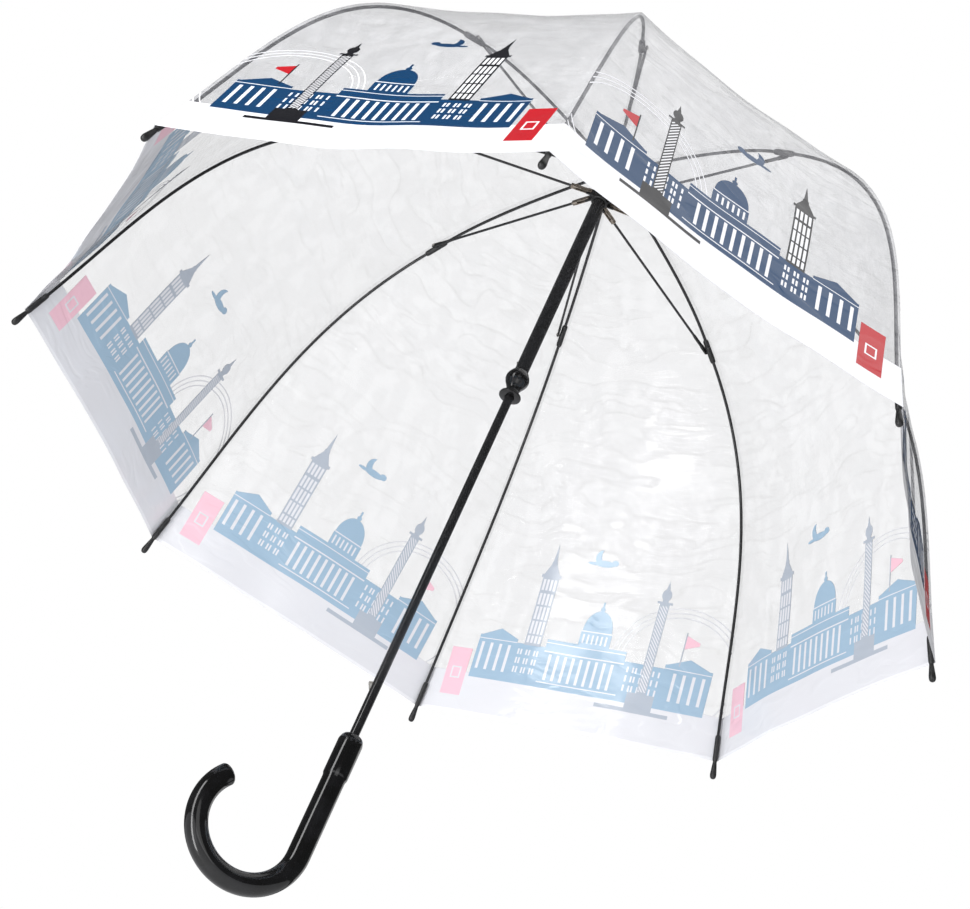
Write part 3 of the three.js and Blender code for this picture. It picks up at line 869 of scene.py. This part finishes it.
# ---- Tips ----------------------------------------------------------------------------------------
# A tapered nylon sleeve on each rod's end, a neck that the film's welded corner hooks over, and a
# pear-shaped nub that keeps it there.
TIP = [
    (1.7, 0.0), (2.05, 0.0), (2.3, 0.5), (2.42, 1.6), (2.55, 4), (2.6, 14), (2.55, 23.5), (2.4, 25.2),
    (2.05, 25.9), (1.95, 26.6), (2.0, 27.8), (2.2, 29.5), (2.5, 32.5), (2.85, 36), (3.08, 38.6),
    (3.1, 40.2), (2.85, 41.8), (2.35, 42.9), (1.5, 43.6), (0.7, 43.78), (0, 43.8),
]
TIP_BORE = [(0, 23.6), (1.7, 23.6)]
for rib in range(1, RIB_COUNT + 1):
    place = laid(rib, SLEEVE_AT, tip_way) @ LATHE_TO_X
    nub = piece(
        f"rib_tip_{rib}",
        moved(turned(f"rib_tip_{rib}", TIP_BORE + TIP, 28), place), NYLON, f"rib_end_{rib}",
    )
    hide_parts(f"tip_{rib}")

# ---- Canopy --------------------------------------------------------------------------------------
# Eight gores of clear film, welded to each other over the ribs and hooked over the tips. Each gore
# is cut here into halves and bands, each riding on its own rib or rib end. The halves share the
# edges and the shading of one continuous sheet.
FILM_OFFSET, FILM_HALF = 3.6 * MM, 0.1 * MM
CAP_FILM_R, CAP_FILM_Z = 18 * MM, 722 * MM
ROW_STEP, HALF_COLUMNS = 5.2 * MM, 16
GORE_PHASE = 2.39  # radians from one gore's wrinkles to the next's
SAG = 0.05  # how far a gore's middle is drawn in, as a share of its half width


def offset_line(points):
    """Points moved out from a rib's line to where the film lies."""
    moved_points = []
    for n, point in enumerate(points):
        way = heading(points, n)
        moved_points.append(point + Vector((-way.y, way.x)) * FILM_OFFSET)
    return moved_points


def run(points):
    """How far along a line each of its points lies."""
    lengths = [0.0]
    for before, after in zip(points, points[1:]):
        lengths.append(lengths[-1] + (after - before).length)
    return lengths


def evenly(points, step):
    """A line's points, spaced about a step apart."""
    lengths = run(points)
    count = round(lengths[-1] / step)
    out, at = [], 0
    for n in range(count + 1):
        wanted = lengths[-1] * n / count
        while at < len(points) - 2 and lengths[at + 1] < wanted:
            at += 1
        share = (wanted - lengths[at]) / (lengths[at + 1] - lengths[at])
        out.append(points[at].lerp(points[at + 1], share))
    return out


FIRST_CLEAR = 5  # the step of the rib's inner line from which the film follows it
HEM_AT = SLEEVE_AT + tip_way * 25 * MM
film_line = offset_line(inner_line[FIRST_CLEAR:] + outer_line + [HEM_AT])
film_line = evenly([Vector((CAP_FILM_R, CAP_FILM_Z))] + film_line, ROW_STEP)
hem_row = len(film_line) - 1
from_crown = run(film_line)


def row_at(radius):
    """The row of the film nearest to a distance from the shaft."""
    return min(range(len(film_line)), key=lambda row: abs(film_line[row].x - radius))


def wrinkle(gore, across, up, width):
    """How far the film stands off its smooth shape: slack ridges, gone at the ribs."""
    phase = gore * GORE_PHASE
    taut = 1 - (across / width) ** 2
    ridges = math.sin(across / (15 * MM) + up / (110 * MM) + phase)
    cross = math.sin((across * 0.7 + up) / (31 * MM) + 1.7 * phase)
    flutter = math.sin(across / (24 * MM) + 2.1 * phase) * math.exp(-up / (80 * MM))
    slack = min(1, width / (60 * MM))
    return taut * slack * (0.55 * ridges + 0.4 * cross + 1.1 * flutter) * MM


def gore_grid(gore):
    """Points, print places and seam places over a gore, from its first rib to its next."""
    turns = [FIRST_RIB - (rib - 1) * RIB_STEP for rib in (gore, gore + 1)]
    ways = [around(1, turn) for turn in turns]
    middle_way = (ways[0] + ways[1]).normalized()
    points, prints, seams = [], [], []
    for row, (radius, level) in enumerate(film_line):
        low, high = film_line[min(row + 1, hem_row)], film_line[max(row - 1, 0)]
        slope = (low - high).normalized()
        out_way = middle_way * -slope.y + Vector((0, 0, slope.x))
        ends = [way * radius + Vector((0, 0, level)) for way in ways]
        width = (ends[1] - ends[0]).length / 2
        up = from_crown[-1] - from_crown[row]
        line, line_prints, line_seams = [], [], []
        for column in range(-HALF_COLUMNS, HALF_COLUMNS + 1):
            t = column / HALF_COLUMNS
            lift = wrinkle(gore, t * width, up, width) - SAG * width * (1 - t * t)
            line.append(ends[0].lerp(ends[1], (1 + t) / 2) + out_way * lift)
            line_prints.append((t * width, up))
            line_seams.append(((1 - abs(t)) * width, from_crown[row]))
        points.append(line)
        prints.append(line_prints)
        seams.append(line_seams)
    return points, prints, seams


def grid_normals(points):
    """The outward normal at each point of a grid."""
    rows, columns = len(points), len(points[0])
    normals = []
    for row in range(rows):
        line = []
        for column in range(columns):
            across = points[row][min(column + 1, columns - 1)] - points[row][max(column - 1, 0)]
            down = points[min(row + 1, rows - 1)][column] - points[max(row - 1, 0)][column]
            line.append(across.cross(down).normalized())
        normals.append(line)
    return normals


def any_of(masks):
    """Wherever one of the masks is on."""
    found = masks[0]
    for mask in masks[1:]:
        found = found | mask
    return found


class Print:
    """Shapes in the print's own millimetres: x across the gore, y up from the hem."""

    def __init__(self, finish):
        place = finish.node("UVMap", {"uv_map": "print"}, {}, "UV")
        self.x = finish.node("SeparateXYZ", {}, {0: place}, "X") * 1000
        self.y = finish.node("SeparateXYZ", {}, {0: place}, "Y") * 1000

    def box(self, left, right, low, high):
        across = abs(self.x - (left + right) / 2) < (right - left) / 2
        return across * (abs(self.y - (low + high) / 2) < (high - low) / 2)

    def boxes(self, *sides):
        return any_of([self.box(*each) for each in sides])

    def oval(self, x, y, half_width, half_height):
        across, up = (self.x - x) / half_width, (self.y - y) / half_height
        return (across * across + up * up) < 1

    def ring(self, x, y, radius, line):
        across, up = self.x - x, self.y - y
        return abs((across * across + up * up) ** 0.5 - radius) < line / 2

    def gable(self, x, half_width, low, high):
        inside = abs(self.x - x) < (high - self.y) * (half_width / (high - low))
        return inside * (self.y > low)

    def bars(self, first, pitch, line):
        return ((self.x - first) % pitch) < line

    def courses(self, first, pitch, line):
        return ((self.y - first) % pitch) < line


WHITE, BLUE, BLACK, RED = "white", "blue", "black", "red"


def skyline(ink):
    """The printed layers in order, each a mask and the name of its ink."""
    arcs = any_of([ink.ring(100, 80, radius, 1.1) for radius in (60, 65, 70)]) * (ink.y > 44)
    bird = any_of([
        ink.oval(-1, 184, 11, 3.7), ink.oval(10, 186, 3.9, 3.4), ink.oval(-13, 183.2, 6.5, 1.7),
        ink.oval(-5, 190, 7.5, 9) * (1 - ink.oval(1.5, 193.5, 8, 10)) * (ink.y > 183),
    ])
    masses = ink.boxes(
        (-115, -72, 40, 88), (-72, -40, 40, 84), (-40, 47, 40, 93), (47, 90, 40, 83),
        (89, 138, 40, 88),
    )
    gables = [ink.gable(-93, 20, 88, 97), ink.gable(113, 22, 88, 97)]
    dome = ink.oval(10, 109, 16, 23) * (ink.y > 108)
    drum = ink.box(-7, 27, 92, 109)
    finial = ink.box(9, 11, 130, 142) | ink.oval(10, 134, 2.6, 2.6)
    building = any_of([masses, dome, drum, finial] + gables)
    columns = ink.box(-34, 42, 49, 77) * ink.bars(-34, 8.5, 3)
    lines = ink.boxes(
        (-40, 47, 79, 80.4), (-40, 47, 89, 89.9), (-115, -72, 83.5, 84.4), (89, 138, 83.5, 84.4),
        (-7, 27, 107.6, 108.8), (-40, 47, 45.5, 46.6),
    )
    drum_bars = ink.box(-4, 25, 95, 105) * ink.bars(-4, 5, 1.8)
    porches = ink.boxes((-111, -76, 50, 80), (93, 135, 50, 80)) * ink.bars(-111, 10, 3.2)
    panes = ink.boxes((-69, -43, 52, 78), (51, 87, 52, 78))
    windows = panes * ink.bars(-69, 9, 5) * ink.courses(52, 10, 6.5)
    glazing = panes * ink.bars(-67.2, 9, 1.4) * ink.courses(52, 10, 6.5)
    tower = ink.box(-64, -46, 83, 162)
    tower_lights = ink.box(-62.4, -47.6, 86, 158) * ink.bars(-62.4, 4.1, 2.5)
    tower_bands = tower * (ink.courses(94, 16.5, 2) | ink.box(-64, -46, 142, 145))
    roof = any_of([
        ink.box(-66, -44, 160, 163.5), ink.gable(-55, 9, 163, 181), ink.box(-58, -52, 170, 178),
        ink.gable(-55, 2.6, 174, 199),
    ])
    pillar = ink.box(67, 77, 52, 151)
    pillar_lights = pillar * ((ink.y + ink.x * 1.3) % 4.2 < 1.9) * (ink.box(68, 76, 54, 149))
    urn = ink.oval(72, 161, 5, 6.5) | ink.box(69, 75, 151, 156) | ink.gable(72, 2.2, 165, 177)
    pedestal = ink.boxes((58, 86, 35, 52), (27, 104, 31, 35), (64, 80, 151, 153.5))
    pennant = ink.box(102.2, 103.4, 88, 125)
    cloth = ink.box(103.4, 118, 107, 122) * (abs(ink.y - 114.5) < (122 - ink.x) * 0.4)
    call_box = ink.box(-142, -119, 18, 70)
    pane = ink.box(-136, -125, 36, 49) * (1 - ink.box(-134.4, -126.6, 37.6, 47.4))
    return [
        (arcs, WHITE), (ink.y < 44, WHITE), (building, BLUE), (any_of([columns, lines]), WHITE),
        (drum_bars | porches, WHITE), (windows, WHITE), (glazing, BLUE), (tower | pillar, BLACK),
        (tower_lights, WHITE), (tower_bands, BLACK), (pillar_lights, WHITE),
        (any_of([roof, pedestal, urn]), BLACK), (bird, BLUE), (pennant, BLACK), (cloth, RED),
        (call_box, RED), (pane, WHITE),
    ]


INKS_OUTSIDE = {
    WHITE: (0.88, 0.88, 0.9, 1), BLUE: (0.0, 0.042, 0.125, 1), BLACK: (0.006, 0.006, 0.009, 1),
    RED: (0.5, 0.008, 0.016, 1),
}
INKS_INSIDE = {
    WHITE: (0.7, 0.7, 0.725, 1), BLUE: (0.33, 0.46, 0.58, 1), BLACK: (0.42, 0.46, 0.52, 1),
    RED: (0.84, 0.52, 0.6, 1),
}
FILM_DULL, FILM_MILKY = (0.36, 0.36, 0.385, 1), (0.54, 0.54, 0.565, 1)
WELD_WIDTH, HEM_WIDTH = 4.5, 3  # millimetres
CLEAR_COVER, INK_COVER = 0.112, 0.985  # how much the clear film and the ink hide
PUCKER = 5.5 * MM  # how deep the bump lets the film's folds look


def film_finish(name, inks):
    """Clear film, milky at a slant, with its print, its welds, its fine puckers, and thin white lines
    that are milky creases and painted highlight streaks.
    """
    film = Finish(name)
    at = film.place()
    ink = Print(film)
    seam = film.node("UVMap", {"uv_map": "seam"}, {}, "UV")
    off_rib = film.node("SeparateXYZ", {}, {0: seam}, "X") * 1000
    printed = None
    haze = film.noise(at, 14, 2)
    colour = film.mix(haze, FILM_DULL, FILM_MILKY)
    for mask, key in skyline(ink):
        colour = film.mix(mask, colour, inks[key])
        printed = mask if printed is None else printed | mask
    weld = (off_rib < WELD_WIDTH) * (1 - printed)
    hem = (ink.y < HEM_WIDTH) * 1.0
    colour = film.mix(weld * 0.5, colour, (0.55, 0.55, 0.58, 1))
    colour = film.mix(hem * 0.5, colour, (0.9, 0.9, 0.92, 1))
    slant = film.node("LayerWeight", {}, {"Blend": 0.42}, "Facing")
    wander = film.noise(at, 9, 2)
    fan = film.shifted(film.stretched(seam, 11, 46, 1), wander * 3.4)
    folds = film.noise(fan, 1, 2, 0.5)
    creases = film.ramp(folds, [(0.47, 0), (0.53, 1)])
    streaks = film.ramp(folds, [(0.49, 0), (0.55, 1)]) * (0.35 + haze * 0.7)
    # Thin whiter lines over the clear film: partly milky creases, partly painted highlight streaks
    # that stand in for glints off the wrinkles.
    fine = film.noise(film.shifted(film.stretched(at, 60, 60, 16), wander * 2), 1, 2, 0.6)
    crease_and_glint_lines = film.ramp(fine, [(0.5, 0), (0.56, 1)])
    colour = film.mix(crease_and_glint_lines * (1 - printed) * 0.28, colour, (0.95, 0.95, 0.97, 1))
    clear = CLEAR_COVER + haze * 0.05 + slant * slant * 0.09 + weld * 0.05
    alpha = film.node("Mix", {"data_type": "FLOAT"}, {0: printed, 2: clear, 3: INK_COVER})
    ripple = film.noise(at, 22, 2, 0.5)
    height = (ripple * 0.4 + folds * 2.0 + creases * 0.4) * (1 - printed * 0.93)
    rough = 0.05 + haze * 0.05 + printed * 0.07
    return film.surface(
        Base_Color=colour, Roughness=rough, Alpha=alpha,
        Normal=film.bump(height, PUCKER, 1.0), IOR=1.55, Specular_IOR_Level=0.6,
        Coat_Weight=streaks * (1 - printed * 0.85), Coat_Roughness=0.1, Coat_IOR=2.1,
    )


def cut_edge():
    """The film's cut thickness, all but invisible where two pieces meet."""
    edge = Finish("film_edge")
    at = edge.place()
    speck = edge.noise(at, 700, 1)
    colour = edge.mix(speck, (0.7, 0.7, 0.72, 1), (0.8, 0.8, 0.82, 1))
    return edge.surface(
        Base_Color=colour, Roughness=0.2 + speck * 0.1, Alpha=0.01 + speck * 0.01
    )


FILM_OUTSIDE = film_finish("film_outside", INKS_OUTSIDE)
FILM_INSIDE = film_finish("film_inside", INKS_INSIDE)
FILM_EDGE = cut_edge()


def shell(name, points, normals, layers):
    """A closed thin sheet over a grid, shaded by the grid's own normals. Also its flat area."""
    rows, columns = len(points), len(points[0])
    places, faces, kinds = [], [], []
    for side in (1, -1):
        for line, line_normals in zip(points, normals):
            places += [p + n * FILM_HALF * side for p, n in zip(line, line_normals)]
    count = rows * columns
    area = 0.0
    for row in range(rows - 1):
        for column in range(columns - 1):
            a = row * columns + column
            quad = (a, a + 1, a + columns + 1, a + columns)
            faces += [quad, tuple(count + k for k in reversed(quad))]
            kinds += [0, 1]
            p, q, r, s = (points[k // columns][k % columns] for k in quad)
            area += ((q - p).cross(r - p).length + (r - p).cross(s - p).length) / 2
    last = (rows - 1) * columns
    border = list(range(columns)) + [row * columns + columns - 1 for row in range(1, rows)]
    border += list(range(last + columns - 2, last - 1, -1))
    border += [row * columns for row in range(rows - 2, 0, -1)]
    for a, b in zip(border, border[1:] + border[:1]):
        faces.append((b, a, a + count, b + count))
        kinds.append(2)
    mesh = bpy.data.meshes.new(name)
    mesh.from_pydata(places, [], faces)
    flat_normals = [n for line in normals for n in line]
    loop_normals = []
    for face, kind in zip(mesh.polygons, kinds):
        face.use_smooth = True
        face.material_index = kind
        for vertex in face.vertices:
            if kind == 2:
                loop_normals.append(face.normal)
            else:
                loop_normals.append(flat_normals[vertex % count] * (1 - 2 * kind))
    for title, grid in layers.items():
        flat_grid = [place for line in grid for place in line]
        layer = mesh.uv_layers.new(name=title)
        for loop, spot in zip(mesh.loops, layer.data):
            spot.uv = flat_grid[loop.vertex_index % count]
    for material in (FILM_OUTSIDE, FILM_INSIDE, FILM_EDGE):
        mesh.materials.append(material)
    mesh.normals_split_custom_set(loop_normals)
    return mesh, area


shoulder_row, bracket_row = row_at(135 * MM), row_at(BRACKET_AT.x)
flex_row = row_at(flex_point.x + 2.6 * MM)  # the film stands off the rod, so a little further out
BANDS = [  # (name, first row, last row, what it rides, the share of its width kept when folded)
    ("crown", 0, shoulder_row, "rib", 0.42),
    ("shoulder", shoulder_row, bracket_row, "rib", 0.28),
    ("flank", bracket_row, flex_row, "rib", 0.17),
    ("skirt", flex_row, hem_row, "rib_end", 0.117),
]
HALF_TURN = RIB_STEP / 2
for gore in range(1, RIB_COUNT + 1):
    points, prints, seams = gore_grid(gore)
    normals = grid_normals(points)
    for side, start in ((-1, 0), (1, HALF_COLUMNS)):
        rib = gore if side < 0 else gore % RIB_COUNT + 1
        cut = slice(start, start + HALF_COLUMNS + 1)
        for band, first, last, carrier, keep in BANDS:
            rows = slice(first, last + 1)
            part = [[line[cut] for line in grid[rows]] for grid in (points, normals, prints, seams)]
            name = f"film_{band}_{gore}_{'a' if side < 0 else 'b'}"
            mesh, area = shell(name, part[0], part[1], {"print": part[2], "seam": part[3]})
            made = piece(name, mesh, None, f"{carrier}_{rib}")
            made.visible_shadow = False  # clear film dims the light behind it very little
            slope = (film_line[last] - film_line[first]).normalized()
            rib_way = in_plane(rib, (1, 0))
            rib_side = in_plane(rib, (0, 0), 1.0)
            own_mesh(made)
            wide = max(line[-1][0] - line[0][0] for line in part[2])
            tall = from_crown[last] - from_crown[first]
            min(area, wide * tall)

HOLE_R = 9 * MM
ring_steps, ring_turns = 3, RIB_COUNT * 8
ring_points, ring_prints, ring_seams = [], [], []
for n in range(ring_steps + 1):
    share = n / ring_steps
    line = []
    for k in range(ring_turns + 1):
        turn = FIRST_RIB - math.tau * k / ring_turns
        off = (turn - FIRST_RIB) % RIB_STEP - HALF_TURN
        facet = math.cos(HALF_TURN) / math.cos(off)
        radius = HOLE_R + (CAP_FILM_R * facet - HOLE_R) * share
        line.append(around(radius, turn, CAP_FILM_Z))
    ring_points.append(line)
    ring_prints.append([(0, from_crown[-1])] * (ring_turns + 1))
    ring_seams.append([(20 * MM, 0)] * (ring_turns + 1))
ring_normals = [[Vector((0, 0, 1))] * (ring_turns + 1) for _ in ring_points]
mesh, area = shell(
    "film_centre", ring_points, ring_normals, {"print": ring_prints, "seam": ring_seams}
)
centre = piece("film_centre", mesh, None, "shaft")
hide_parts(*(f"gore_{gore}" for gore in range(1, RIB_COUNT + 1)))
